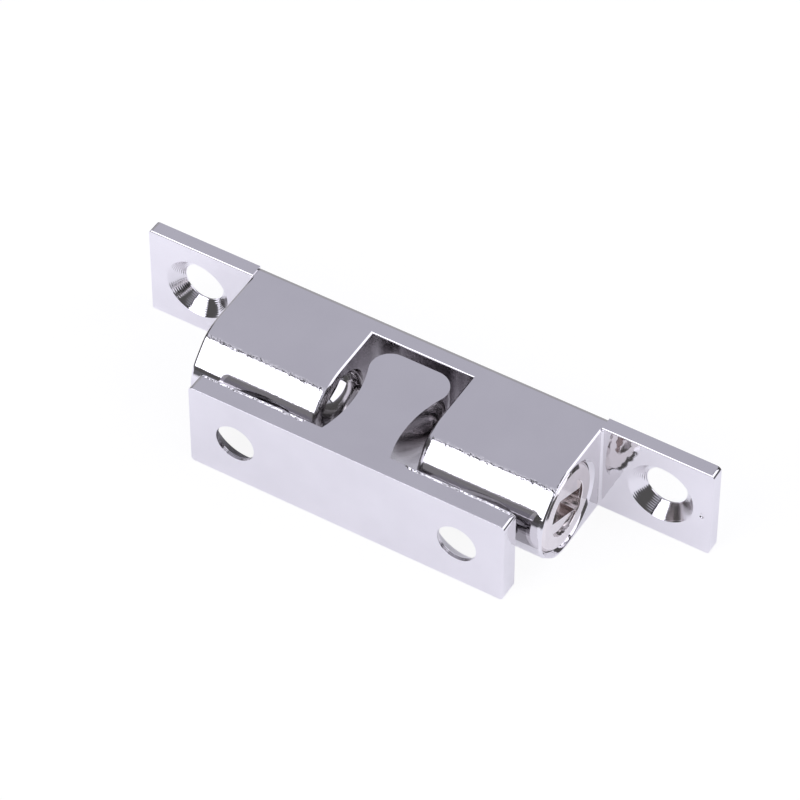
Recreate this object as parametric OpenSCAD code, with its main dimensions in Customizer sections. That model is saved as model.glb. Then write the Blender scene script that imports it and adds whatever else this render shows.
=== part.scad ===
// Double ball catch with its strike pushed in between the balls.
// It lies on its side, as on a bench: X runs along the catch, +Y points to the surface
// that the base is screwed to, and Z is up. The origin is the middle of the base's
// mounting face.

/* [Balls and bores] */
// Diameter of each ball
ball_d = 8; // [7:0.1:10]
// Running clearance of a ball in its bore, on the radius
ball_clearance = 0.05; // [0.02:0.01:0.1]
// How far the lip at the notch closes in over the ball, on the radius
lip_reach = 0.15; // [0.1:0.01:0.3]
// Thickness of that lip
lip_t = 0.6; // [0.4:0.05:1]

/* [Adjusters] */
// How much larger the adjuster's thread is than the ball's bore, on the radius
thread_step = 0.35; // [0.25:0.01:0.6]
// Running clearance of the adjuster's thread, on the radius
thread_clearance = 0.04; // [0.02:0.01:0.08]
// How far the adjuster can be screwed in from its flush place
adjust_travel = 1; // [0.5:0.1:1.5]
// Length of free thread beyond that travel
thread_runout = 0.3; // [0.2:0.1:1]
// Diameter of the round recess in the adjuster's outer face
recess_d = 5.5; // [3:0.1:6]
// Depth of that recess
recess_depth = 0.3; // [0.1:0.05:0.6]
// Width of the screwdriver slot across the recess
slot_w = 2.25; // [1:0.05:2.6]
// Depth of that slot under the adjuster's outer face
slot_depth = 1.8; // [1:0.1:2.5]
// Turn of the slot out of the catch's middle plane
slot_turn = -23.5; // [-90:0.5:90]
// Thickness of the web between the slot and the spring's pocket
adjuster_web = 0.7; // [0.5:0.05:1.2]
// Depth of the spring's pocket in the adjuster's inner end
pocket_depth = 2; // [1:0.1:3]
// Edge break round both ends of the adjuster's thread
adjuster_edge = 0.38; // [0.2:0.01:0.5]
// Edge break round the recess
recess_edge = 0.06; // [0.03:0.01:0.08]
// Width of the countersunk mouth that the adjuster screws into
mouth_w = 0.36; // [0.1:0.01:0.4]
// How far the adjuster's face lies below the barrel's end
adjuster_set = 0.05; // [0:0.01:0.3]

/* [Springs] */
// Wire diameter of each spring
wire_d = 0.7; // [0.5:0.05:0.9]
// Gap between the spring and the ball's bore, on the radius
spring_side_gap = 0.7; // [0.4:0.05:1]
// Gap between the spring and its pocket, on the radius
pocket_gap = 0.3; // [0.1:0.05:0.5]
// Pitch of the spring's open coils
spring_pitch = 1.15; // [1:0.05:2]
// Closed turns at each end of the spring
closed_turns = 0.75; // [0.5:0.05:1]
// Gap between the spring's ends and what they push on
seat_gap = 0.05; // [0.02:0.01:0.2]

/* [Catch body] */
// Wall of the barrel round the adjuster's thread
barrel_wall = 0.62; // [0.55:0.01:1.5]
// Length of each barrel, from the notch to its outer end
barrel_l = 13.2; // [12:0.1:18]
// Length of the base beyond each barrel
flange_l = 11.47; // [10:0.01:16]
// Thickness of the base
base_t = 1.38; // [1.3:0.01:2.5]
// Radius of the base's corners
base_corner_r = 0.5; // [0.4:0.05:2]
// Radius along the base's long front edges
base_edge = 0.2; // [0.1:0.01:0.4]
// Radius along the base's front edges at both ends
base_end_edge = 0.1; // [0.05:0.01:0.3]
// How far the base's long edges stand out from the block's flat sides
base_proud = 0.2; // [0.05:0.01:0.5]
// Width of the slope along the block's back edges
back_edge = 0.42; // [0.1:0.01:0.6]
// Drop of that slope
back_drop = 0.12; // [0.05:0.01:0.3]
// Depth of the catch, from the mounting face to the rounded nose
body_depth = 12.26; // [11.5:0.01:16]
// Height of the notch's floor over the front of the base
floor_h = 0.35; // [0.3:0.05:1]
// Radius along the notch's floor
floor_edge = 0.2; // [0.1:0.01:0.3]
// Edge break at the notch end of each barrel
notch_edge = 0.15; // [0.1:0.01:0.4]
// Radius at the notch end of each nose, full at its front and running out upwards
notch_round = 0.5; // [0.2:0.05:0.8]
// Drop of the edge break at the outer end of each barrel
end_edge = 0.09; // [0.05:0.01:0.15]
// Length of that edge break
end_break = 0.18; // [0.05:0.01:0.3]
// Radius in the corner between a barrel's end and the base
root_r = 0.3; // [0.1:0.05:0.8]

/* [Screw holes] */
// Screw hole through the base
base_hole_d = 4.2; // [3:0.1:5]
// Countersink of that hole, on the side of the barrels
base_sink_d = 6.7; // [5.5:0.1:7.5]
// Distance from the end of the base to its screw hole
base_hole_end = 5.25; // [4.5:0.05:6]
// Screw hole through the strike
strike_hole_d = 4.05; // [3:0.05:5]
// Countersink of that hole, on the side of the tongue
strike_sink_d = 7.3; // [5.5:0.1:7.5]
// Distance from the end of the strike to its screw hole
strike_hole_end = 4.9; // [4.2:0.1:6]

/* [Strike] */
// Length of the strike's plate
strike_l = 33.2; // [30:0.1:45]
// Height of the strike
strike_h = 9.75; // [9:0.05:12]
// Thickness of the strike's plate
strike_t = 2; // [1.6:0.1:3]
// Radius of the strike's corners
strike_corner_r = 0.5; // [0.3:0.05:2]
// Radius round the front of the strike's plate
strike_edge = 0.06; // [0.05:0.01:0.3]
// Width of the tongue's head
head_w = 8; // [7:0.1:9]
// Corner radius of the tongue's head
head_r = 2; // [1.5:0.1:2.4]
// Width of the tongue's neck
neck_w = 5.86; // [5:0.02:6.6]
// Radius of the hollow flanks of the tongue
flank_r = 12.2; // [10:0.1:16]

/* [Engaged place of the strike] */
// Gap at each side between the tongue's head and the notch
head_side_gap = 1.33; // [1:0.01:2]
// Gap between the tongue's head and the notch's floor
head_gap = 0.67; // [0.2:0.01:1]
// Gap between the nose of the catch and the strike's plate
plate_gap = 1.44; // [1:0.01:3]
// Gap between each ball and the tongue
ball_gap = 0.15; // [0.1:0.01:0.4]
// How far the strike lies off the middle of the catch
strike_side = 0.2; // [0:0.05:0.3]

/* [Hidden] */
$fn = 96;

// Length that a cut runs past the face it opens
past = 1;
// Steps of a small round edge
edge_steps = 6;
// How far the round at the notch end of a nose is struck behind the bore's axis
round_back = 1;
// Clearance of the room a barrel fills, away from its rounded edge
room_gap = 0.02;
// Step between the recess's wall and the ends of the slot
slot_inset = 0.02;

// Bores, from the ball outwards
ball_r = ball_d / 2;
bore_r = ball_r + ball_clearance;
lip_r = ball_r - lip_reach;
adjuster_r = bore_r + thread_step;
thread_r = adjuster_r + thread_clearance;
adjuster_l = slot_depth + adjuster_web + pocket_depth;
thread_l = adjuster_l + adjust_travel + thread_runout;

// Springs
wire_r = wire_d / 2;
coil_r = bore_r - spring_side_gap - wire_r;
pocket_r = coil_r + wire_r + pocket_gap;
closed_pitch = wire_d + seat_gap;
wire_sides = 8;
rings_per_turn = 14;

// Catch body
nose_r = thread_r + barrel_wall;
base_h = 2 * (nose_r + base_proud);
notch_w = head_w + 2 * head_side_gap;
notch_x = notch_w / 2;
end_x = notch_x + barrel_l;
base_l = 2 * (end_x + flange_l);
base_hole_x = base_l / 2 - base_hole_end;
nose_y = nose_r - body_depth;
floor_y = -base_t - floor_h;

// Tongue of the strike: the head's corner arcs run into the hollow flanks
strike_y = -body_depth - plate_gap;
head_y = floor_y - head_gap;
head_arc_x = head_w / 2 - head_r;
head_arc_y = head_y - head_r;
flank_x = neck_w / 2 + flank_r;
neck_y = head_arc_y - sqrt(pow(flank_r + head_r, 2) - pow(flank_x - head_arc_x, 2));
blend_y = head_arc_y + (neck_y - head_arc_y) * head_r / (flank_r + head_r);
strike_z = -base_h / 2;
strike_hole_x = strike_l / 2 - strike_hole_end;

// Balls: each rests by the tongue, or on its lip where the tongue leaves room
on_head = head_arc_x + sqrt(max(0, pow(ball_r + head_r, 2) - pow(nose_y - head_arc_y, 2)));
on_flank = flank_x - sqrt(max(0, pow(flank_r - ball_r, 2) - pow(nose_y - neck_y, 2)));
on_lip = notch_x + lip_t + sqrt(pow(ball_r, 2) - pow(lip_r, 2)) + ball_clearance;
function ball_x(side) = max(max(on_head, on_flank) + ball_gap + side * strike_side, on_lip);

// Springs: from the back of the ball to the bottom of the pocket
spring_seat = sqrt(pow(ball_r + wire_r + seat_gap, 2) - pow(coil_r, 2));
pocket_x = end_x - adjuster_set - slot_depth - adjuster_web;
function spring_start(side) = ball_x(side) + spring_seat;
function spring_rise(side) = pocket_x - seat_gap - wire_r - spring_start(side);

// Finishes
plate_colour = [0.80, 0.80, 0.84];
ball_colour = [0.72, 0.72, 0.75];
spring_colour = [0.55, 0.55, 0.57];
adjuster_colour = [0.84, 0.79, 0.77];

// A rectangle with round corners, about its middle
module round_rectangle(length, height, corner) {
    square([length - 2 * corner, height], center = true);
    square([length, height - 2 * corner], center = true);
    for (x = [-1, 1], y = [-1, 1])
        translate([x * (length / 2 - corner), y * (height / 2 - corner)])
            circle(r = corner);
}

// Points of a small round edge, from one angle to another
function round_edge(x, y, radius, first, last) = [
    for (step = [0:edge_steps])
        let (angle = first + (last - first) * step / edge_steps)
        [x + radius * cos(angle), y + radius * sin(angle)]
];

// A rectangle from x = 0 to -depth, with both corners at its far side rounded
module rounded_strip(depth, height, edge) {
    polygon(concat(
        [[0, -height / 2], [0, height / 2]],
        round_edge(edge - depth, height / 2 - edge, edge, 90, 180),
        round_edge(edge - depth, edge - height / 2, edge, 180, 270)
    ));
}

// A plate that lies in XZ and runs from y = 0 to -thickness, its front edges rounded
module rounded_plate(length, height, thickness, corner, edge, end_edge) {
    intersection() {
        rotate([90, 0, 0])
            linear_extrude(height = thickness)
                round_rectangle(length, height, corner);
        rotate([90, 0, 90])
            translate([0, 0, -length / 2 - past])
                linear_extrude(height = length + 2 * past)
                    rounded_strip(thickness, height, edge);
        translate([0, 0, -height / 2 - past])
            linear_extrude(height = height + 2 * past)
                rotate(90)
                    rounded_strip(thickness, length, end_edge);
    }
}

// Everything that turns round a bore's axis: local +Z becomes +X
module on_bore_axis() {
    translate([0, nose_y, 0])
        rotate([0, 90, 0])
            children();
}

// Screw hole along Y with its countersink, which opens towards -Y at the origin
module screw_hole(hole_d, sink_d, depth) {
    sink_depth = (sink_d - hole_d) / 2;
    rotate([-90, 0, 0]) {
        translate([0, 0, -past])
            cylinder(d = hole_d, h = depth + 2 * past);
        translate([0, 0, -past])
            cylinder(d1 = sink_d + 2 * past, d2 = hole_d, h = sink_depth + past);
    }
}

// Outline of the base with the block's narrower middle
module base() {
    difference() {
        rounded_plate(base_l, base_h, base_t, base_corner_r, base_edge, base_end_edge);
        for (side = [-1, 1])
            translate([-end_x, -base_t - past, side > 0 ? nose_r : -base_h / 2 - past])
                cube([2 * end_x, base_t + 2 * past, base_proud + past]);
    }
}

// Solid under the notch, its floor facing the strike
module saddle() {
    rotate([90, 0, 90])
        translate([0, 0, -notch_x - past])
            linear_extrude(height = notch_w + 2 * past)
                rounded_strip(-floor_y, 2 * nose_r, floor_edge);
}

// Right barrel: flat sides behind the bore's axis, a half round nose in front of it
module barrel() {
    intersection() {
        union() {
            rotate([90, 0, 0])
                linear_extrude(height = -nose_y)
                    polygon([
                        [notch_x, notch_edge - nose_r],
                        [notch_x, nose_r - notch_edge],
                        [notch_x + notch_edge, nose_r],
                        [end_x - end_break, nose_r],
                        [end_x, nose_r - end_edge],
                        [end_x, end_edge - nose_r],
                        [end_x - end_break, -nose_r],
                        [notch_x + notch_edge, -nose_r]
                    ]);
            on_bore_axis()
                rotate(180)
                    rotate_extrude(angle = 180)
                        polygon([
                            [0, notch_x],
                            [nose_r - notch_edge, notch_x],
                            [nose_r, notch_x + notch_edge],
                            [nose_r, end_x - end_break],
                            [nose_r - end_edge, end_x],
                            [0, end_x]
                        ]);
        }
        barrel_room();
    }
}

// Room that the right barrel fills: it rounds the nose's edge at the notch, most in front
module barrel_room() {
    radius = nose_r + round_back + room_gap;
    translate([0, nose_y + round_back, 0])
        rotate([0, 90, 0])
            rotate_extrude()
                polygon(concat(
                    [[0, notch_x - room_gap]],
                    round_edge(radius - notch_round, notch_x - room_gap + notch_round,
                               notch_round, -90, 0),
                    [[radius, end_x + past], [0, end_x + past]]
                ));
    translate([notch_x - past, nose_y + round_back, -nose_r - past])
        cube([barrel_l + 2 * past, past - nose_y - round_back, 2 * (nose_r + past)]);
}

// Small round in the corner between the right barrel's end and the base
module root_fillet() {
    height = 2 * (nose_r - end_edge);
    translate([end_x, -base_t, -height / 2])
        linear_extrude(height = height)
            difference() {
                translate([-root_r, -root_r])
                    square(2 * root_r);
                translate([root_r, -root_r])
                    circle(r = root_r);
                translate([-root_r, -2 * root_r])
                    square([4 * root_r, root_r]);
                translate([root_r, -2 * root_r])
                    square([2 * root_r, 4 * root_r]);
            }
}

// Cut that slopes the block's upper back edge
module back_break() {
    translate([-end_x, 0, nose_r])
        rotate([90, 0, 90])
            linear_extrude(height = 2 * end_x)
                polygon([
                    [-back_edge, 0],
                    [0, -back_drop],
                    [past, -back_drop],
                    [past, past],
                    [-back_edge, past]
                ]);
}

// Right bore: lip at the notch, the ball's bore, the thread and its countersunk mouth
module bore() {
    on_bore_axis()
        rotate_extrude()
            polygon([
                [0, notch_x - past],
                [lip_r, notch_x - past],
                [lip_r, notch_x + lip_t],
                [bore_r, notch_x + lip_t],
                [bore_r, end_x - thread_l],
                [thread_r, end_x - thread_l],
                [thread_r, end_x - mouth_w],
                [thread_r + mouth_w, end_x],
                [thread_r + mouth_w, end_x + past],
                [0, end_x + past]
            ]);
}

// Housing of the catch, one piece
module catch_body() {
    color(plate_colour)
        difference() {
            union() {
                base();
                saddle();
                for (side = [0, 1])
                    mirror([side, 0, 0]) {
                        barrel();
                        root_fillet();
                    }
            }
            for (side = [0, 1])
                mirror([side, 0, 0]) {
                    bore();
                    translate([base_hole_x, -base_t, 0])
                        screw_hole(base_hole_d, base_sink_d, base_t);
                }
            for (side = [0, 1])
                mirror([0, 0, side])
                    back_break();
        }
}

// Ball beside the tongue
module ball(side) {
    color(ball_colour)
        translate([ball_x(side), nose_y, 0])
            sphere(r = ball_r);
}

// Height of the spring's wire after a number of turns: close at both ends, open between
function coil_height(turn, turns, rise) =
    turn < closed_turns ? turn * closed_pitch
    : turn > turns - closed_turns ? rise - (turns - turn) * closed_pitch
    : closed_turns * closed_pitch + (turn - closed_turns) * spring_pitch;

// Compression spring, its wire swept along the coils
module spring(side) {
    rise = spring_rise(side);
    open_rise = max(wire_d, rise - 2 * closed_turns * closed_pitch);
    turns = 2 * closed_turns + open_rise / spring_pitch;
    last = ceil(turns * rings_per_turn);
    points = [
        for (ring = [0:last], corner = [0:wire_sides - 1])
            let (
                turn = turns * ring / last,
                around = 360 * corner / wire_sides,
                radius = coil_r + wire_r * cos(around)
            )
            [
                radius * cos(360 * turn),
                radius * sin(360 * turn),
                coil_height(turn, turns, rise) + wire_r * sin(around)
            ]
    ];
    faces = concat(
        [[for (corner = [0:wire_sides - 1]) corner]],
        [
            for (ring = [0:last - 1], corner = [0:wire_sides - 1])
                let (
                    here = ring * wire_sides,
                    next = (corner + 1) % wire_sides
                )
                [here + corner, here + wire_sides + corner,
                 here + wire_sides + next, here + next]
        ],
        [[for (corner = [wire_sides - 1:-1:0]) last * wire_sides + corner]]
    );
    color(spring_colour)
        on_bore_axis()
            translate([0, 0, spring_start(side)])
                polyhedron(points = points, faces = faces, convexity = 8);
}

// Screw plug in the outer end of the barrel, with a slot across its round recess
module adjuster() {
    face_x = end_x - adjuster_set;
    inner_x = face_x - adjuster_l;
    color(adjuster_colour)
        on_bore_axis()
            difference() {
                rotate_extrude()
                    polygon([
                        [0, pocket_x],
                        [pocket_r, pocket_x],
                        [pocket_r, inner_x],
                        [adjuster_r - adjuster_edge, inner_x],
                        [adjuster_r, inner_x + adjuster_edge],
                        [adjuster_r, face_x - adjuster_edge],
                        [adjuster_r - adjuster_edge, face_x],
                        [recess_d / 2 + recess_edge, face_x],
                        [recess_d / 2, face_x - recess_edge],
                        [recess_d / 2, face_x - recess_depth],
                        [0, face_x - recess_depth]
                    ]);
                translate([0, 0, face_x - slot_depth])
                    rotate(slot_turn)
                        linear_extrude(height = slot_depth + past)
                            slot_outline();
            }
}

// Outline of the slot: a bar whose ends follow the recess's wall
module slot_outline() {
    intersection() {
        square([slot_w, recess_d], center = true);
        circle(d = recess_d - 2 * slot_inset);
    }
}

// Outline of the tongue: a head with round corners and a shank with hollow flanks
module tongue_outline() {
    intersection() {
        union() {
            for (side = [-1, 1])
                translate([side * head_arc_x, head_arc_y])
                    circle(r = head_r);
            translate([-head_arc_x, blend_y])
                square([2 * head_arc_x, head_y - blend_y]);
        }
        translate([-head_w, blend_y])
            square([2 * head_w, head_y - blend_y + past]);
    }
    difference() {
        translate([-head_w / 2, strike_y - strike_t / 2])
            square([head_w, blend_y - strike_y + strike_t / 2]);
        for (side = [-1, 1])
            translate([side * flank_x, neck_y])
                circle(r = flank_r);
    }
}

// Strike, one piece: plate and tongue
module strike() {
    color(plate_colour)
        translate([strike_side, 0, strike_z])
            difference() {
                union() {
                    translate([0, strike_y, strike_h / 2])
                        rounded_plate(strike_l, strike_h, strike_t, strike_corner_r,
                                      strike_edge, strike_edge);
                    linear_extrude(height = strike_h)
                        tongue_outline();
                }
                for (side = [-1, 1])
                    translate([side * strike_hole_x, strike_y, strike_h / 2])
                        mirror([0, 1, 0])
                            screw_hole(strike_hole_d, strike_sink_d, strike_t);
            }
}

catch_body();
mirror([1, 0, 0]) ball(-1);  // left_ball
ball(1);  // right_ball
mirror([1, 0, 0]) spring(-1);  // left_spring
spring(1);  // right_spring
mirror([1, 0, 0]) adjuster();  // left_adjuster
adjuster();  // right_adjuster
strike();
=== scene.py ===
"""Looks of a double ball catch with its strike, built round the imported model.

The catch lies on its side on a white table, with the strike's tongue pushed in between
the balls. Lengths are in metres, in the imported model's frame: X runs along the catch,
+Y points to the surface that its base is screwed to, and Z is up.
"""

import logging
import math
from dataclasses import dataclass
from enum import Enum
from typing import Any

import bmesh
import bpy
from bmesh.types import BMesh
from mathutils import Matrix, Vector


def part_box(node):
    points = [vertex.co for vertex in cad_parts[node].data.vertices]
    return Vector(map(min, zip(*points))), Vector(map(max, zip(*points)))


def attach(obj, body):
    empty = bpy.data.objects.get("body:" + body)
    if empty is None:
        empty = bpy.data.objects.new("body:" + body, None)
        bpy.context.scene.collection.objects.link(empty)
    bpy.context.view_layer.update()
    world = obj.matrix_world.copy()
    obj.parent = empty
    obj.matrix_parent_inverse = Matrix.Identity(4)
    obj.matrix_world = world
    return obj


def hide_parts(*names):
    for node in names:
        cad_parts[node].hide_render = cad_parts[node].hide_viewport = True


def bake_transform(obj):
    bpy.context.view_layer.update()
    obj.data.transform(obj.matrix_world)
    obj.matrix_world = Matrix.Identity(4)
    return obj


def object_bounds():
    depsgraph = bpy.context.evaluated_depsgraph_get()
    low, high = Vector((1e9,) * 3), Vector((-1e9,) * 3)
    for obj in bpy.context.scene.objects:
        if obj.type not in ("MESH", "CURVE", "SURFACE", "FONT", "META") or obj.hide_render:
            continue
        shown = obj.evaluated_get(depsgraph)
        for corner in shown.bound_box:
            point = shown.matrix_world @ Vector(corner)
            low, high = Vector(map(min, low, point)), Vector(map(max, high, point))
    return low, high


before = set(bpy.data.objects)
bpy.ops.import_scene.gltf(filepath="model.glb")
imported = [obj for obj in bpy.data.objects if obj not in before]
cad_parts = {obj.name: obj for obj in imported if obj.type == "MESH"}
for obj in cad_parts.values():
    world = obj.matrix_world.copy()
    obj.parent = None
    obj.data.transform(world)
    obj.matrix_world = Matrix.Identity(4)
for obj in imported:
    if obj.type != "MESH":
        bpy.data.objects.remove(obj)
CAD_LOW, CAD_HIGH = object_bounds()

LOG = logging.getLogger("ball_catch")
MM = 0.001
BORE_Y = -7.2 * MM

# Points closer than this are merged, and faces that meet flatter than this are joined.
MERGE_REACH = 0.001 * MM
FLAT_ANGLE = math.radians(0.3)
# Values between which nearly all of a noise lies.
NOISE_CORE = (0.3, 0.7)
# A wave texture of scale 1 runs through this many radians per unit of length.
WAVE_RATE = 20.0

Colour = tuple[float, float, float]
Point = tuple[float, float, float]
Socket = bpy.types.NodeSocket
Edges = list[bmesh.types.BMEdge]


class Slot(Enum):
    """Material slots of the record."""

    BODY = "plated_body"
    STRIKE = "plated_strike"
    PLUG = "plated_plug"
    BALL = "ball_steel"
    SPRING = "spring_steel"


class Side(Enum):
    """The two ends of the catch, by the sign of X."""

    LEFT = -1
    RIGHT = 1

    @property
    def word(self) -> str:
        """Name of the side in the nodes' names."""
        return self.name.lower()


class SpringEnd(Enum):
    """The two halves of a spring, in the order in which its wire is wound."""

    BALL = "ball_end"
    SCREW = "screw_end"


class Shader:
    """Nodes of one material or world, joined from left to right."""

    def __init__(self, tree: bpy.types.NodeTree) -> None:
        """Starts from an empty tree.

        Args:
            tree: node tree that is cleared and then filled.
        """
        self.tree = tree
        self.tree.nodes.clear()

    def add(
        self, kind: str, inputs: dict[str | int, Any] | None = None, **settings: Any
    ) -> bpy.types.Node:
        """Adds a node.

        Args:
            kind: Blender's type name of the node, without its common prefix.
            inputs: value of each input, or the output socket that feeds it.
            settings: other properties of the node.

        Returns:
            The new node.
        """
        made = self.tree.nodes.new(f"ShaderNode{kind}")
        for name, value in settings.items():
            setattr(made, name, value)
        for name, value in (inputs or {}).items():
            if isinstance(value, Socket):
                self.tree.links.new(value, made.inputs[name])
            else:
                made.inputs[name].default_value = value
        return made

    def math(self, operation: str, *values: Any) -> Socket:
        """Works out a number.

        Args:
            operation: Blender's name of the operation.
            values: numbers or sockets that go in.

        Returns:
            The result's socket.
        """
        return self.add("Math", dict(enumerate(values)), operation=operation).outputs["Value"]

    def noise(self, place: Socket, size: float, detail: float) -> Socket:
        """Noise between 0 and 1.

        Args:
            place: coordinates that the noise is read at.
            size: length of one ripple.
            detail: octaves of finer noise.

        Returns:
            The noise's value.
        """
        made = self.add("TexNoise", {"Vector": place, "Scale": 1.0 / size, "Detail": detail})
        return made.outputs["Fac"]

    def step(
        self, value: Socket, ends: tuple[float, float], low: float, high: float
    ) -> Socket:
        """Leads smoothly from one number to another.

        Args:
            value: number that decides.
            ends: where the change starts and where it ends.
            low: result before the change.
            high: result after it.

        Returns:
            The result's socket.
        """
        made = self.add(
            "MapRange",
            {"Value": value, "From Min": ends[0], "From Max": ends[1], "To Min": low, "To Max": high},
            interpolation_type="SMOOTHSTEP",
        )
        return made.outputs["Result"]

    def inside(self, place: Socket, low: Point, high: Point) -> Socket:
        """Tells a box from the room round it.

        Args:
            place: coordinates that are looked at.
            low: lower corner of the box.
            high: upper corner of the box.

        Returns:
            A socket that is 1 inside the box and 0 outside.
        """
        middle = (Vector(low) + Vector(high)) / 2
        offset = self.add("VectorMath", {0: place, 1: middle}, operation="SUBTRACT").outputs["Vector"]
        share = self.add(
            "VectorMath", {0: offset, 1: (Vector(high) - Vector(low)) / 2}, operation="DIVIDE"
        ).outputs["Vector"]
        away = self.add("VectorMath", {0: share}, operation="ABSOLUTE").outputs["Vector"]
        way = self.add("SeparateXYZ", {"Vector": away}).outputs
        most = self.math("MAXIMUM", way["X"], self.math("MAXIMUM", way["Y"], way["Z"]))
        return self.math("LESS_THAN", most, 1.0)

    def reach(self, place: tuple[float, float], along: Socket, up: Socket) -> Socket:
        """Distance from a line along Y.

        Args:
            place: where the line is, along X and Z.
            along: coordinate along X.
            up: coordinate along Z.

        Returns:
            The distance's socket.
        """
        offset = self.add(
            "CombineXYZ",
            {
                "X": self.math("SUBTRACT", along, place[0]),
                "Z": self.math("SUBTRACT", up, place[1]),
            },
        )
        made = self.add("VectorMath", {0: offset.outputs["Vector"]}, operation="LENGTH")
        return made.outputs["Value"]

    def between(self, value: Socket, low: float, high: float) -> Socket:
        """Stretches the middle of a noise over a range.

        Args:
            value: noise between 0 and 1.
            low: result for the noise's low values.
            high: result for the noise's high values.

        Returns:
            The stretched value.
        """
        first, last = NOISE_CORE
        made = self.add(
            "MapRange",
            {"Value": value, "From Min": first, "From Max": last, "To Min": low, "To Max": high},
        )
        return made.outputs["Result"]

    def blend(self, share: Socket, first: Any, second: Any) -> Socket:
        """Mixes two colours.

        Args:
            share: how much of the second colour shows.
            first: colour or colour socket.
            second: colour or colour socket.

        Returns:
            The mixed colour.
        """
        # The node has sockets for every kind of value: 6, 7 and 2 are those for colours.
        made = self.add("Mix", data_type="RGBA")
        self.tree.links.new(share, made.inputs[0])
        for socket, value in ((made.inputs[6], first), (made.inputs[7], second)):
            if isinstance(value, Socket):
                self.tree.links.new(value, socket)
            else:
                socket.default_value = (*value, 1.0)
        return made.outputs[2]


@dataclass(frozen=True)
class Metal:
    """A bright metal with a cloudy tint, a fine grain and a rippled skin.

    Attributes:
        name: name of the material.
        light: its lighter tint.
        dark: its darker tint.
        cloud: length of the clouds that the two tints form.
        gloss: roughness where the skin is smoothest and where it is dullest.
        grain: length of the grain in that roughness.
        ripple: length of the skin's ripples.
        depth: depth of those ripples.
        recess: corners of a box within which the buff could not reach, if there is one.
        recess_dull: roughness that is added there.
    """

    name: str
    light: Colour
    dark: Colour
    cloud: float
    gloss: tuple[float, float]
    grain: float
    ripple: float
    depth: float
    recess: tuple[Point, Point] | None = None
    recess_dull: float = 0.12

    def height(self, shader: Shader, place: Socket) -> Socket:
        """Height of the skin, between 0 and 1.

        Args:
            shader: nodes of the material.
            place: object coordinates.

        Returns:
            The height's socket.
        """
        return shader.noise(place, self.ripple, 2.0)

    def colour(self, shader: Shader, place: Socket) -> Socket:
        """Colour of the metal, in clouds of its two tints.

        Args:
            shader: nodes of the material.
            place: object coordinates.

        Returns:
            The colour's socket.
        """
        clouds = shader.between(shader.noise(place, self.cloud, 3.0), 0.0, 1.0)
        return shader.blend(clouds, self.light, self.dark)

    def material(self) -> bpy.types.Material:
        """Makes the material.

        Returns:
            The new material.
        """
        made = bpy.data.materials.new(self.name)
        made.use_nodes = True
        shader = Shader(made.node_tree)
        place = shader.add("TexCoord").outputs["Object"]
        dullness = shader.between(shader.noise(place, self.grain, 2.0), *self.gloss)
        if self.recess:
            dull = shader.math("MULTIPLY", shader.inside(place, *self.recess), self.recess_dull)
            dullness = shader.math("ADD", dullness, dull)
        skin = shader.add(
            "Bump", {"Height": self.height(shader, place), "Strength": 1.0, "Distance": self.depth}
        )
        surface = shader.add(
            "BsdfPrincipled",
            {
                "Base Color": self.colour(shader, place),
                "Metallic": 1.0,
                "Roughness": dullness,
                "Normal": skin.outputs["Normal"],
            },
        )
        shader.add("OutputMaterial", {"Surface": surface.outputs["BSDF"]})
        return made


@dataclass(frozen=True)
class TurnedMetal(Metal):
    """Metal faced on a lathe, with fine rings about an axis along X.

    Attributes:
        axis_y: place of the axis along Y.
        ring: distance from one ring to the next.
    """

    axis_y: float = 0.0
    ring: float = 0.12 * MM

    def height(self, shader: Shader, place: Socket) -> Socket:
        """Height of the tool's rings, blurred a little by noise.

        Args:
            shader: nodes of the material.
            place: object coordinates.

        Returns:
            The height's socket.
        """
        centred = shader.add("Mapping", {"Vector": place, "Location": (0.0, -self.axis_y, 0.0)})
        rings = shader.add(
            "TexWave",
            {
                "Vector": centred.outputs["Vector"],
                "Scale": math.tau / (WAVE_RATE * self.ring),
                "Distortion": 0.6,
                "Detail": 2.0,
            },
            wave_type="RINGS",
            rings_direction="X",
        )
        return rings.outputs["Fac"]


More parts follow.
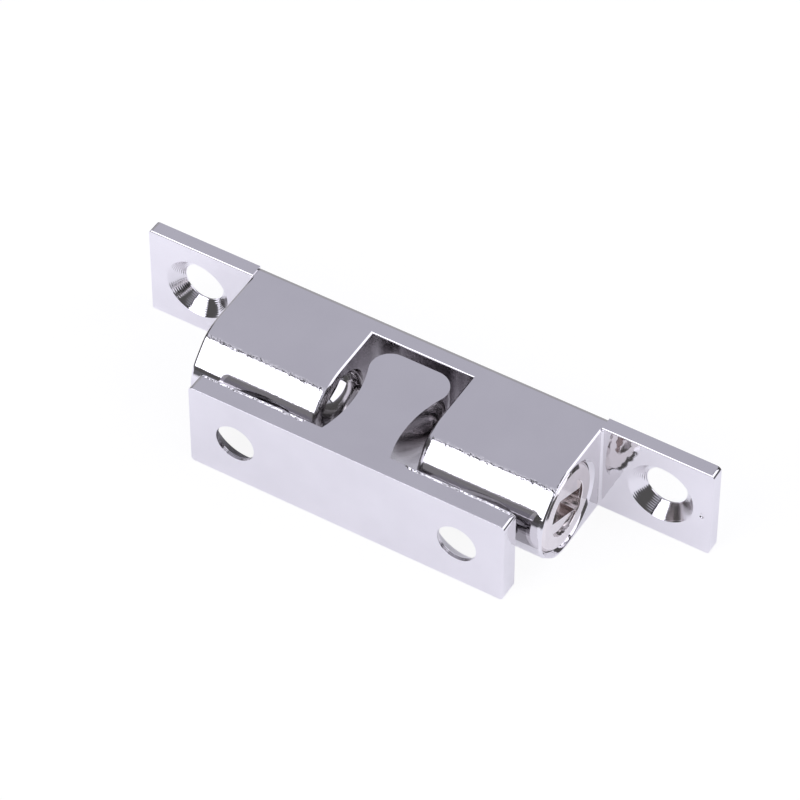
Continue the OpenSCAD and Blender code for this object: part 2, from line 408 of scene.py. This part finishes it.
@dataclass(frozen=True)
class CastPlating(Metal):
    """Plating on a casting: peeled at the shoulders, wavy on the base, turned in the sinks.

    Attributes:
        buffed: share of the ripples that is left where the nose was buffed.
        buffed_top: height up to which it was buffed, and from which it was not.
        flats: share of the ripples on the block's flat sides.
        flats_start: where along Y the nose ends and those sides begin.
        wave: length of the waves on the base.
        wave_share: depth of these waves, as a share of the ripples'.
        wave_start: where along Y the barrels end and the base begins.
        sink_x: distance of each countersink from the middle.
        sink_r: radius within which the tool's rings show.
        ring: distance from one ring to the next.
        ring_share: depth of the rings, as a share of the ripples'.
        front_y: where along Y the base's front side, with its marks, ends.
        pit: place of a casting flaw on the base, along X and Z.
        pit_r: radius of that flaw.
        pit_share: depth of the flaw, as a share of the ripples'.
        lead: distances from the middle between which the notch ends of the noses are rounded.
        lead_share: drop of that round, as a share of the ripples' depth.
        lead_top: where along Y the round is full, and where it has run out.
    """

    buffed: float = 0.12
    buffed_top: tuple[float, float] = (2.6 * MM, 3.9 * MM)
    flats: float = 0.065
    flats_start: tuple[float, float] = (-9.2 * MM, -8.4 * MM)
    wave: float = 1.1 * MM
    wave_share: float = 0.76
    wave_start: tuple[float, float] = (-2.0 * MM, -1.5 * MM)
    sink_x: float = 24.75 * MM
    sink_r: float = 3.3 * MM
    ring: float = 0.15 * MM
    ring_share: float = 0.139
    front_y: float = -0.1 * MM
    pit: tuple[float, float] = (29.0 * MM, -0.45 * MM)
    pit_r: float = 0.42 * MM
    pit_share: float = 7.6
    lead: tuple[float, float] = (5.33 * MM, 5.98 * MM)
    lead_share: float = 6.5
    lead_top: tuple[float, float] = (-10.2 * MM, -8.4 * MM)

    def height(self, shader: Shader, place: Socket) -> Socket:
        """Height of the skin with all that marks it.

        Args:
            shader: nodes of the material.
            place: object coordinates.

        Returns:
            The height's socket.
        """
        way = shader.add("SeparateXYZ", {"Vector": place})
        x, y, z = (way.outputs[axis] for axis in "XYZ")
        peel = shader.math(
            "MULTIPLY",
            shader.math("SUBTRACT", shader.noise(place, self.ripple, 3.0), 0.5),
            shader.math(
                "MULTIPLY",
                shader.step(z, self.buffed_top, self.buffed, 1.0),
                shader.step(y, self.flats_start, 1.0, self.flats),
            ),
        )
        waves = shader.math(
            "MULTIPLY",
            shader.math("SUBTRACT", shader.noise(place, self.wave, 1.0), 0.5),
            shader.step(y, self.wave_start, 0.0, self.wave_share),
        )
        from_middle = shader.math("ABSOLUTE", x)
        sink = shader.reach((self.sink_x, 0.0), from_middle, z)
        wave = shader.math("SINE", shader.math("MULTIPLY", sink, math.tau / self.ring))
        front = shader.math("LESS_THAN", y, self.front_y)
        inside = shader.math("MULTIPLY", front, shader.math("LESS_THAN", sink, self.sink_r))
        rings = shader.math("MULTIPLY", wave, shader.math("MULTIPLY", inside, self.ring_share))
        pit = shader.reach(self.pit, x, z)
        hollow = shader.step(pit, (0.0, self.pit_r), -self.pit_share, 0.0)
        flaw = shader.math("MULTIPLY", front, hollow)
        near, far = self.lead
        inward = shader.math("DIVIDE", shader.math("SUBTRACT", far, from_middle), far - near)
        curve = shader.math("POWER", shader.math("MAXIMUM", inward, 0.0), 2.0)
        drop = shader.math("MULTIPLY", curve, shader.step(y, self.lead_top, -self.lead_share, 0.0))
        marks = shader.math("ADD", shader.math("ADD", rings, flaw), drop)
        return shader.math("ADD", shader.math("ADD", peel, waves), marks)


@dataclass(frozen=True)
class DrilledPlating(Metal):
    """Plating of the strike: darker at its back with painted shade, burred along its back edge, with
    the drill's lines in its holes.

    Attributes:
        back: corners of a box round the plate's back and sinks, where shade is painted into the
            colour.
        back_painted_shade: darker colour painted there, standing in for the shade in the gap between
            the plate and the housing.
        burr_y: where along Y the burr on the plate's back edge begins and ends.
        burr_top: heights between which a point comes to lie on the plate's upper side.
        burr_x: distances from the plate's middle between which the burr begins.
        burr_share: height of the burr, as a share of the ripples' depth.
        burr_wander: how far the burr's foot wanders.
        hole_x: places of the holes along X.
        hole_z: height of the holes' middle.
        hole_r: radius within which the lines show.
        line: distance from one line to the next.
        line_share: depth of the lines, as a share of the ripples'.
    """

    back: tuple[Point, Point] = (
        (-16.0 * MM, -15.1 * MM, -5.0 * MM),
        (16.4 * MM, -13.6 * MM, 4.2 * MM),
    )
    # Painted shade: a dark plating colour for the plate's back, where the gap to the housing lies in
    # shade.
    back_painted_shade: Colour = (0.47, 0.46, 0.47)
    burr_y: tuple[float, float] = (-13.98 * MM, -13.74 * MM)
    burr_top: tuple[float, float] = (4.28 * MM, 4.36 * MM)
    burr_x: tuple[float, float] = (5.2 * MM, 5.5 * MM)
    burr_share: float = 85.0
    burr_wander: float = 0.5 * MM
    hole_x: tuple[float, float] = (-11.5 * MM, 11.9 * MM)
    hole_z: float = -0.385 * MM
    hole_r: float = 2.06 * MM
    line: float = 0.13 * MM
    line_share: float = 1.2

    def colour(self, shader: Shader, place: Socket) -> Socket:
        """Colour of the plating, painted darker on the back as shade.

        Args:
            shader: nodes of the material.
            place: object coordinates.

        Returns:
            The colour's socket.
        """
        # Painted shade: inside the back box the colour turns dark, standing in for the shade in the
        # gap.
        return shader.blend(
            shader.inside(place, *self.back), super().colour(shader, place), self.back_painted_shade
        )

    def height(self, shader: Shader, place: Socket) -> Socket:
        """Height of the skin with the lines in the holes and the burr.

        Args:
            shader: nodes of the material.
            place: object coordinates.

        Returns:
            The height's socket.
        """
        first, second = self.hole_x
        way = shader.add("SeparateXYZ", {"Vector": place})
        x, y, z = (way.outputs[axis] for axis in "XYZ")
        along = shader.math("ABSOLUTE", shader.math("SUBTRACT", x, (first + second) / 2))
        hole = shader.reach(((second - first) / 2, self.hole_z), along, z)
        inside = shader.math("LESS_THAN", hole, self.hole_r)
        wave = shader.math("SINE", shader.math("MULTIPLY", y, math.tau / self.line))
        lines = shader.math("MULTIPLY", wave, shader.math("MULTIPLY", inside, self.line_share))
        wander = shader.math("SUBTRACT", shader.noise(place, 2 * self.ripple, 3.0), 0.5)
        foot = shader.math("MULTIPLY_ADD", wander, self.burr_wander, y)
        edge = shader.math(
            "MULTIPLY",
            shader.step(z, self.burr_top, 0.0, 1.0),
            shader.step(along, self.burr_x, 0.0, 1.0),
        )
        rise = shader.step(foot, self.burr_y, 0.0, self.burr_share)
        marks = shader.math("ADD", lines, shader.math("MULTIPLY", rise, edge))
        return shader.math("ADD", super().height(shader, place), marks)


PLATING = CastPlating(
    name="bright_plating",
    light=(0.790, 0.775, 0.787),
    dark=(0.752, 0.737, 0.751),
    cloud=6.0 * MM,
    gloss=(0.035, 0.075),
    grain=0.25 * MM,
    ripple=0.36 * MM,
    depth=0.026 * MM,
    recess=((-5.37 * MM, -12.0 * MM, -6.0 * MM), (5.37 * MM, -1.5 * MM, 4.85 * MM)),
)
STRIKE_PLATING = DrilledPlating(
    name="strike_plating",
    light=(0.786, 0.771, 0.784),
    dark=(0.754, 0.739, 0.753),
    cloud=5.0 * MM,
    gloss=(0.035, 0.070),
    grain=0.22 * MM,
    ripple=0.40 * MM,
    depth=0.0030 * MM,
    recess=((-5.0 * MM, -13.65 * MM, -6.0 * MM), (5.4 * MM, -2.0 * MM, 4.42 * MM)),
)
BALL_STEEL = Metal(
    name="polished_ball_steel",
    light=(0.740, 0.725, 0.722),
    dark=(0.690, 0.675, 0.670),
    cloud=2.0 * MM,
    gloss=(0.020, 0.045),
    grain=0.10 * MM,
    ripple=0.50 * MM,
    depth=0.0004 * MM,
)
SPRING_STEEL = Metal(
    name="drawn_spring_steel",
    light=(0.58, 0.58, 0.60),
    dark=(0.46, 0.46, 0.48),
    cloud=1.2 * MM,
    gloss=(0.18, 0.34),
    grain=0.08 * MM,
    ripple=0.09 * MM,
    depth=0.0010 * MM,
)
PLUG_METAL = TurnedMetal(
    name="turned_warm_plating",
    light=(0.805, 0.768, 0.758),
    dark=(0.765, 0.728, 0.720),
    cloud=1.6 * MM,
    gloss=(0.06, 0.12),
    grain=0.10 * MM,
    ripple=0.20 * MM,
    depth=0.0006 * MM,
    axis_y=BORE_Y,
)


@dataclass
class Piece:
    """A shown piece that stands for one node and rides on the body of the same name.

    Attributes:
        name: name of the piece.
        node: node that it stands for.
        slot: material slot of the record; not used.
        finish: metal that covers it.
    """

    name: str
    node: str
    slot: Slot
    finish: Metal

    def shape(self) -> BMesh:
        """Models the piece.

        Returns:
            Its mesh, in place.
        """
        raise NotImplementedError

    def soften(self, made: bpy.types.Object) -> None:
        """Shades the piece smoothly, with its flat faces kept flat.

        Args:
            made: object of the piece.
        """
        made.data.shade_smooth()
        weighted = made.modifiers.new("flat_faces", "WEIGHTED_NORMAL")
        weighted.mode = "FACE_AREA"
        weighted.weight = 50

    def join(self, made: bpy.types.Object) -> None:
        """Gives the piece to the body that carries it.

        Args:
            made: object of the piece.
        """
        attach(made, self.node)

    def place(self) -> bpy.types.Object:
        """Makes the object, dresses it and gives it to its body.

        Returns:
            The finished object.
        """
        mesh = bpy.data.meshes.new(self.name)
        bm = self.shape()
        bm.to_mesh(mesh)
        bm.free()
        mesh.materials.append(self.finish.material())
        made = bpy.data.objects.new(self.name, mesh)
        bpy.context.scene.collection.objects.link(made)
        self.soften(made)
        self.join(made)
        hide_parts(self.node)
        LOG.info("%s: %d faces", self.name, len(mesh.polygons))
        return made


@dataclass
class CastPiece(Piece):
    """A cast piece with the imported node's form, its sharp edges worn round.

    Attributes:
        edge: width that a worn edge has at most; short edges beside it make it narrower.
        edge_steps: faces across a worn edge.
        sharp: angle from which an edge is worn, in degrees.
    """

    edge: float = 0.05 * MM
    edge_steps: int = 3
    sharp: float = 20.0

    def shape(self) -> BMesh:
        """Merges a copy of the node's mesh and rounds its edges.

        Returns:
            The rounded mesh.
        """
        bm = bmesh.new()
        bm.from_mesh(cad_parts[self.node].data)
        bmesh.ops.remove_doubles(bm, verts=bm.verts, dist=MERGE_REACH)
        bmesh.ops.dissolve_limit(bm, angle_limit=FLAT_ANGLE, verts=bm.verts, edges=bm.edges)
        sharp = math.radians(self.sharp)
        self.wear(bm, [e for e in bm.edges if e.is_manifold and e.calc_face_angle() > sharp])
        self.buff(bm)
        return bm

    def buff(self, bm: BMesh) -> None:
        """Changes what the buffing wheel changed, which is nothing on a plain piece.

        Args:
            bm: mesh of the piece.
        """

    def wear(self, bm: BMesh, edges: Edges) -> None:
        """Wears the sharp edges.

        Args:
            bm: mesh of the piece.
            edges: its sharp edges.
        """
        self.round_off(bm, edges, self.edge, self.edge_steps)

    @staticmethod
    def round_off(bm: BMesh, edges: Edges, width: float, steps: int) -> None:
        """Rounds some edges.

        Args:
            bm: mesh of the piece.
            edges: edges that are rounded.
            width: width of the round.
            steps: faces across it.
        """
        bmesh.ops.bevel(
            bm,
            geom=edges,
            offset=width,
            offset_type="OFFSET",
            affect="EDGES",
            segments=steps,
            profile=0.5,
            clamp_overlap=True,
            material=-1,
        )


@dataclass
class Housing(CastPiece):
    """The housing, whose noses were buffed a little flat.

    Attributes:
        nose_r: radius of the noses.
        skin: how deep below that radius a point still belongs to the outside.
        land: angle over the front at which each flat land lies, in degrees.
        land_half: half of the land's width, in degrees.
        land_share: how flat it is, where 1 is a plane.
    """

    nose_r: float = 5.06 * MM
    skin: float = 0.2 * MM
    land: float = 45.0
    land_half: float = 14.6
    land_share: float = 0.85

    def buff(self, bm: BMesh) -> None:
        """Flattens a land above and below the front of each nose.

        Args:
            bm: mesh of the housing.
        """
        half = math.radians(self.land_half)
        moved = 0
        for v in bm.verts:
            front = BORE_Y - v.co.y
            reach = math.hypot(front, v.co.z)
            offset = math.atan2(abs(v.co.z), front) - math.radians(self.land)
            if reach < self.nose_r - self.skin or abs(offset) > half or front < 0.0:
                continue
            plane = math.cos(half) / math.cos(offset)
            scale = 1.0 + self.land_share * (plane - 1.0)
            v.co.y = BORE_Y - front * scale
            v.co.z *= scale
            moved += 1
        LOG.info("%s: %d points buffed", self.name, moved)


@dataclass
class StrikePlate(CastPiece):
    """The strike, whose plate is worn rounder along its back than elsewhere.

    Attributes:
        back_y: place of the plate's back.
        back_edge: width that its worn edges have at most.
        back_steps: faces across each of them.
        back_run: length from which such an edge is a long one.
        near: how far a point may lie from the plate's back, top or bottom.
    """

    back_y: float = -13.7 * MM
    back_edge: float = 0.10 * MM
    back_steps: int = 5
    back_run: float = 5.0 * MM
    near: float = 0.01 * MM

    def wear(self, bm: BMesh, edges: Edges) -> None:
        """Wears the other edges first, then the plate's long back edges.

        Args:
            bm: mesh of the strike.
            edges: its sharp edges.
        """
        low = min(v.co.z for v in bm.verts)
        high = max(v.co.z for v in bm.verts)

        def runs_along_back(e: bmesh.types.BMEdge) -> bool:
            """Tells whether an edge lies along the top or bottom of the plate's back."""
            return all(
                abs(v.co.y - self.back_y) < self.near
                and min(v.co.z - low, high - v.co.z) < self.near
                for v in e.verts
            )

        super().wear(bm, [e for e in edges if not runs_along_back(e)])
        long_edges = [e for e in bm.edges if runs_along_back(e) and e.calc_length() > self.back_run]
        self.round_off(bm, long_edges, self.back_edge, self.back_steps)
        LOG.info("%s: %d long back edges rounded", self.name, len(long_edges))


@dataclass
class Ball(Piece):
    """A polished bearing ball.

    Attributes:
        radius: its radius.
        around: faces round its equator.
    """

    radius: float = 4.0 * MM
    around: int = 128

    def shape(self) -> BMesh:
        """Models the ball with its poles along the bore.

        Returns:
            The ball's mesh.
        """
        low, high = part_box(self.node)
        bm = bmesh.new()
        bmesh.ops.create_uvsphere(
            bm,
            u_segments=self.around,
            v_segments=self.around // 2,
            radius=self.radius,
            matrix=Matrix.Translation((low + high) / 2) @ Matrix.Rotation(math.pi / 2, 4, "Y"),
        )
        return bm


@dataclass
class Spring(Piece):
    """Half of a compression spring, which has a closed turn at each end.

    The middle of the wire stays in place. The ball squeezes one half against it, and the
    screw plug the other.

    Attributes:
        side: end of the catch that the spring works in.
        end: half of the spring that is made.
        wire_r: radius of its wire.
        coil_r: radius of its coils, at the middle of the wire.
        pitch: rise of an open coil.
        closed_pitch: rise of a closed coil.
        closed_turns: closed coils at each end.
        around: faces round the wire.
        per_turn: faces along one coil.
    """

    side: Side = Side.RIGHT
    end: SpringEnd = SpringEnd.BALL
    wire_r: float = 0.35 * MM
    coil_r: float = 3.0 * MM
    pitch: float = 1.15 * MM
    closed_pitch: float = 0.75 * MM
    closed_turns: float = 0.75
    around: int = 16
    per_turn: int = 48

    def wind(
        self, bm: BMesh, axis: Vector, ring: Edges, turns: float, pitch: float
    ) -> Edges:
        """Sweeps the wire along some coils.

        Args:
            bm: mesh of the spring.
            axis: point on the spring's axis.
            ring: edges that the wire goes on from.
            turns: number of coils.
            pitch: rise of a coil.

        Returns:
            The edges that the wire ends with.
        """
        steps = max(1, round(turns * self.per_turn))
        swept = bmesh.ops.spin(
            bm,
            geom=ring,
            cent=axis,
            axis=(1.0, 0.0, 0.0),
            dvec=(turns * pitch / steps, 0.0, 0.0),
            angle=math.tau * turns,
            steps=steps,
            use_duplicate=False,
        )["geom_last"]
        return [e for e in swept if isinstance(e, bmesh.types.BMEdge)]

    def shape(self) -> BMesh:
        """Winds both halves of the wire and keeps one of them.

        Returns:
            The half's mesh.
        """
        low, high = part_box(self.node)
        start = (low.x if self.side is Side.RIGHT else -high.x) + self.wire_r
        rise = high.x - low.x - 2 * self.wire_r
        open_turns = (rise - 2 * self.closed_turns * self.closed_pitch) / self.pitch
        closed = (self.closed_turns, self.closed_pitch)
        half_open = (open_turns / 2, self.pitch)
        axis = Vector((start, BORE_Y, 0.0))
        bm = bmesh.new()
        circle = bmesh.ops.create_circle(
            bm,
            segments=self.around,
            radius=self.wire_r,
            matrix=Matrix.Translation(axis + Vector((0, 0, -self.coil_r)))
            @ Matrix.Rotation(math.pi / 2, 4, "X"),
        )["verts"]
        ring = list({e for v in circle for e in v.link_edges})
        halves: dict[SpringEnd, set[bmesh.types.BMVert]] = {}
        for end, runs in zip(SpringEnd, ((closed, half_open), (half_open, closed))):
            others = set().union(*halves.values())
            bmesh.ops.contextual_create(bm, geom=ring)
            for turns, pitch in runs:
                ring = self.wind(bm, axis, ring, turns, pitch)
            bmesh.ops.contextual_create(bm, geom=ring)
            halves[end] = set(bm.verts) - others
            corners = list({v for e in ring for v in e.verts})
            copied = bmesh.ops.duplicate(bm, geom=corners + ring)["geom"]
            ring = [e for e in copied if isinstance(e, bmesh.types.BMEdge)]
        spare = [v for v in bm.verts if v not in halves[self.end]]
        bmesh.ops.delete(bm, geom=spare, context="VERTS")
        if self.side is Side.LEFT:
            bmesh.ops.scale(bm, vec=(-1.0, 1.0, 1.0), verts=bm.verts)
        bmesh.ops.remove_doubles(bm, verts=bm.verts, dist=MERGE_REACH / 2)
        bmesh.ops.recalc_face_normals(bm, faces=bm.faces)
        return bm

    def join(self, made: bpy.types.Object) -> None:
        """Bakes the half's placement into its mesh, whichever half it is; it is given to no body.

        Args:
            made: object of the half.
        """
        if self.end is SpringEnd.BALL:
            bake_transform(made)
        else:
            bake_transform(made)


@dataclass(frozen=True)
class SoftBox:
    """A rectangular soft light that faces the catch.

    Attributes:
        name: name of the lamp.
        turn: where it stands round the catch, in degrees from -Y towards +X.
        rise: how high it stands over the table, in degrees.
        width: how wide it looks from the catch, in degrees.
        height: how tall it looks from the catch, in degrees.
        glow: brightness of its face, where 1 is white.
        tint: colour of its light.
        distance: distance from the catch.
        rim: width of the black rim round its face.
        rim_rise: how far that rim is raised.
        behind: distance from the lamp back to the rim, and from there to the lip.
        lip: width of the white cloth over the upper rim.
        lip_glow: brightness of that cloth.
    """

    name: str
    turn: float
    rise: float
    width: float
    height: float
    glow: float
    tint: Colour = (0.90, 0.895, 1.0)
    distance: float = 0.8
    rim: float = 0.065
    rim_rise: float = 0.045
    behind: float = 0.01
    lip: float = 0.05
    lip_glow: float = 1.4

    def hang(self) -> None:
        """Makes the lamp and points it at the catch."""
        turn = math.radians(self.turn)
        rise = math.radians(self.rise)
        out = Vector(
            (
                math.sin(turn) * math.cos(rise),
                -math.cos(turn) * math.cos(rise),
                math.sin(rise),
            )
        )
        data = bpy.data.lights.new(self.name, "AREA")
        data.shape = "RECTANGLE"
        data.color = self.tint
        data.size = 2 * self.distance * math.tan(math.radians(self.width / 2))
        data.size_y = 2 * self.distance * math.tan(math.radians(self.height / 2))
        data.energy = self.glow * math.pi * data.size * data.size_y
        lamp = bpy.data.objects.new(self.name, data)
        turned = (-out).to_track_quat("-Z", "Y").to_matrix().to_4x4()
        lamp.matrix_world = Matrix.Translation(out * self.distance) @ turned
        bpy.context.scene.collection.objects.link(lamp)
        half = Vector((data.size, data.size_y)) / 2
        lamp.visible_camera = False
        for part, behind, wider, raised, glow in (
            ("rim", self.behind, self.rim, self.rim_rise, 0.0),
            ("lip", 2 * self.behind, 0.0, self.rim + self.rim_rise + self.lip, self.lip_glow),
        ):
            place = Matrix.Translation(out * (self.distance + behind)) @ turned
            up = Matrix.Translation((0.0, raised, 0.0))
            self.sheet(part, place @ up, half + Vector((wider, wider)), glow)

    def sheet(self, part: str, place: Matrix, half: Vector, glow: float) -> None:
        """Hangs a sheet of cloth behind the lamp, which shows as a frame round it.

        Args:
            part: name of the sheet.
            place: where the sheet hangs.
            half: half of its width and height.
            glow: its brightness.
        """
        bm = bmesh.new()
        wide = Matrix.Diagonal((half.x, half.y, 1.0, 1.0))
        bmesh.ops.create_grid(bm, x_segments=1, y_segments=1, size=1.0, matrix=place @ wide)
        name = f"{self.name}_{part}"
        mesh = bpy.data.meshes.new(name)
        bm.to_mesh(mesh)
        bm.free()
        cloth = bpy.data.materials.new(f"{name}_cloth")
        cloth.use_nodes = True
        shader = Shader(cloth.node_tree)
        face = shader.add("Emission", {"Color": (*self.tint, 1.0), "Strength": glow})
        shader.add("OutputMaterial", {"Surface": face.outputs["Emission"]})
        mesh.materials.append(cloth)
        made = bpy.data.objects.new(name, mesh)
        made.visible_camera = False
        bpy.context.scene.collection.objects.link(made)


@dataclass
class Studio:
    """White table in a dim room with a grey ceiling, two soft boxes and the camera.

    Attributes:
        eye: place of the camera.
        aim: point in the middle of the picture.
        boxes: the soft lights.
        lens: focal length on the sensor, in millimetres.
        sensor: width of the sensor, in millimetres.
        clip: distances from the camera between which it sees.
        table: length of the table's sides.
        cloth: grey of the table's cloth, in reflections.
        seen_cloth: grey of the cloth that the camera sees, which the shadow darkens.
        seen_glow: glow that brings this cloth up to white.
        table_glow: share of the table's white that no shadow darkens, at its left and right; the
            higher left share is painted light.
        painted_light_turn: where along X the left share, with its painted light, passes into the
            right one.
        table_tint: colour of that share.
        sheet: distances from the catch at which its white sheet ends, in reflections.
        bench: share of the white that is left beyond the sheet.
        pit: middle of the painted shade on the table between the left barrel and the strike.
        pit_shade_size: half of the painted shade's length and width.
        pit_shade_edge: distances from its middle at which the painted shade ends, as shares of its
            size.
        walls: colour of the room's walls.
        backdrop: colour of the sheet behind the catch.
        backdrop_way: direction in which that sheet hangs.
        backdrop_ends: cosines of the angles from there between which it begins.
        ceiling: colour of the ceiling.
        wall_top: height at which the walls end, as the sine of the angle over the table.
        ceiling_start: height at which the ceiling is fully seen, as a sine too.
        bounces: mirror bounces that a ray may make between the pieces.
    """

    eye: Vector
    aim: Vector
    boxes: tuple[SoftBox, ...]
    lens: float = 215.826
    sensor: float = 36.0
    clip: tuple[float, float] = (0.01, 100.0)
    table: float = 6.0
    cloth: Colour = (0.80, 0.80, 0.80)
    seen_cloth: Colour = (0.16, 0.16, 0.16)
    seen_glow: float = 0.9
    # Painted light: the left share is higher, as if more light fell on the table's left.
    table_glow: tuple[float, float] = (0.61, 0.48)
    painted_light_turn: tuple[float, float] = (-32.0 * MM, -14.0 * MM)
    table_tint: Colour = (0.90, 0.895, 1.0)
    sheet: tuple[float, float] = (42.0 * MM, 60.0 * MM)
    bench: float = 0.12
    pit: tuple[float, float] = (-13.5 * MM, -9.5 * MM)
    pit_shade_size: tuple[float, float] = (9.0 * MM, 5.5 * MM)
    pit_shade_edge: tuple[float, float] = (0.75, 1.1)
    walls: Colour = (0.10, 0.098, 0.10)
    backdrop: Colour = (0.45, 0.445, 0.47)
    backdrop_way: Point = (-0.52, 0.854, 0.0)
    backdrop_ends: tuple[float, float] = (0.70, 0.86)
    ceiling: Colour = (0.525, 0.52, 0.605)
    wall_top: float = 0.54
    ceiling_start: float = 0.64
    bounces: int = 16

    def camera(self) -> None:
        """Places the camera."""
        data = bpy.data.cameras.new("camera")
        data.lens = self.lens
        data.sensor_width = self.sensor
        data.clip_start, data.clip_end = self.clip
        made = bpy.data.objects.new("camera", data)
        made.location = self.eye
        made.rotation_euler = (self.aim - self.eye).to_track_quat("-Z", "Y").to_euler()
        bpy.context.scene.collection.objects.link(made)
        bpy.context.scene.camera = made

    def floor(self) -> None:
        """Lays a white table that keeps a faint shadow, and a deeper one in reflections, with painted
        shade between the left barrel and the strike and painted light on its left.
        """
        bm = bmesh.new()
        bmesh.ops.create_grid(bm, x_segments=1, y_segments=1, size=self.table / 2)
        bmesh.ops.translate(bm, vec=(0.0, 0.0, CAD_LOW.z), verts=bm.verts)
        mesh = bpy.data.meshes.new("table")
        bm.to_mesh(mesh)
        bm.free()
        white = bpy.data.materials.new("white_table")
        white.use_nodes = True
        shader = Shader(white.node_tree)
        path = shader.add("LightPath")
        seen = path.outputs["Is Camera Ray"]
        sent_on = shader.math(
            "MAXIMUM", path.outputs["Is Glossy Ray"], path.outputs["Is Transmission Ray"]
        )
        place = shader.add("TexCoord").outputs["Object"]
        away = shader.add("VectorMath", {0: place}, operation="LENGTH").outputs["Value"]
        cover = shader.step(away, self.sheet, 1.0, self.bench)
        # Painted shade: an oval between the left barrel and the strike where the table's glow is
        # taken out.
        centred = shader.add(
            "Mapping",
            {"Vector": place, "Location": (*self.pit, 0.0), "Scale": (*self.pit_shade_size, 1.0)},
            vector_type="TEXTURE",
        )
        level = shader.add(
            "VectorMath",
            {0: centred.outputs["Vector"], 1: (1.0, 1.0, 0.0)},
            operation="MULTIPLY",
        )
        inner = shader.add("VectorMath", {0: level.outputs["Vector"]}, operation="LENGTH")
        along = shader.add("SeparateXYZ", {"Vector": place}).outputs["X"]
        # Painted light and shade: the glow share is brighter on the table's left, where more light
        # falls, and nil in the painted shade.
        painted_glow_share = shader.math(
            "MULTIPLY",
            shader.step(inner.outputs["Value"], self.pit_shade_edge, 0.0, 1.0),
            shader.step(along, self.painted_light_turn, *self.table_glow),
        )
        cloth = shader.blend(cover, (0.0, 0.0, 0.0), self.cloth)
        lit = shader.add("BsdfDiffuse", {"Color": shader.blend(seen, cloth, self.seen_cloth)})
        reflected = shader.math("MULTIPLY", sent_on, shader.math("MULTIPLY", cover, painted_glow_share))
        glow = shader.add(
            "Emission",
            {
                "Color": shader.blend(seen, self.table_tint, (1.0, 1.0, 1.0)),
                "Strength": shader.math("MULTIPLY_ADD", seen, self.seen_glow, reflected),
            },
        )
        both = shader.add("AddShader", {0: lit.outputs["BSDF"], 1: glow.outputs["Emission"]})
        shader.add("OutputMaterial", {"Surface": both.outputs["Shader"]})
        mesh.materials.append(white)
        made = bpy.data.objects.new("table", mesh)
        bpy.context.scene.collection.objects.link(made)

    def room(self) -> None:
        """Surrounds the table with dim walls under a grey ceiling."""
        world = bpy.data.worlds.new("room")
        bpy.context.scene.world = world
        world.use_nodes = True
        shader = Shader(world.node_tree)
        out = shader.add("TexCoord").outputs["Generated"]
        up = shader.add("SeparateXYZ", {"Vector": out}).outputs["Z"]
        behind = shader.add("VectorMath", {0: out, 1: self.backdrop_way}, operation="DOT_PRODUCT")
        sheet = shader.step(behind.outputs["Value"], self.backdrop_ends, 0.0, 1.0)
        low = shader.blend(sheet, self.walls, self.backdrop)
        share = shader.step(up, (self.wall_top, self.ceiling_start), 0.0, 1.0)
        inside = shader.blend(share, low, self.ceiling)
        path = shader.add("LightPath")
        colour = shader.blend(path.outputs["Is Camera Ray"], inside, (1.0, 1.0, 1.0))
        back = shader.add("Background", {"Color": colour, "Strength": 1.0})
        shader.add("OutputWorld", {"Surface": back.outputs["Background"]})

    def build(self) -> None:
        """Sets up the whole studio."""
        scene = bpy.context.scene
        scene.view_settings.view_transform = "Standard"
        scene.cycles.max_bounces = self.bounces
        scene.cycles.glossy_bounces = self.bounces
        self.camera()
        self.floor()
        self.room()
        for box in self.boxes:
            box.hang()


def catch_pieces() -> list[Piece]:
    """Lists the pieces of the catch and its strike.

    Returns:
        The pieces, in the order they are built.
    """
    pieces: list[Piece] = [
        Housing("housing", "catch_body", Slot.BODY, PLATING),
        StrikePlate("strike_plate", "strike", Slot.STRIKE, STRIKE_PLATING, edge=0.08 * MM),
    ]
    for side in Side:
        word = side.word
        pieces += [
            Ball(f"{word}_bearing_ball", f"{word}_ball", Slot.BALL, BALL_STEEL),
            CastPiece(f"{word}_screw_plug", f"{word}_adjuster", Slot.PLUG, PLUG_METAL),
        ]
        pieces += [
            Spring(
                f"{word}_coil_spring_{end.value}",
                f"{word}_spring",
                Slot.SPRING,
                SPRING_STEEL,
                side,
                end,
            )
            for end in SpringEnd
        ]
    return pieces


def main() -> None:
    """Builds the catch, then the studio."""
    logging.basicConfig(level=logging.INFO, format="%(name)s: %(message)s")
    for piece in catch_pieces():
        piece.place()
    Studio(
        eye=Vector((153.107, -259.341, 322.010)) * MM,
        aim=Vector((-0.3635, -5.1016, 1.874)) * MM,
        boxes=(
            SoftBox("front_box", turn=-23.0, rise=33.5, width=39.0, height=44.0, glow=2.6),
            SoftBox("right_box", turn=104.0, rise=36.0, width=66.0, height=40.0, glow=1.6),
        ),
    ).build()


if __name__ == "__main__":
    main()
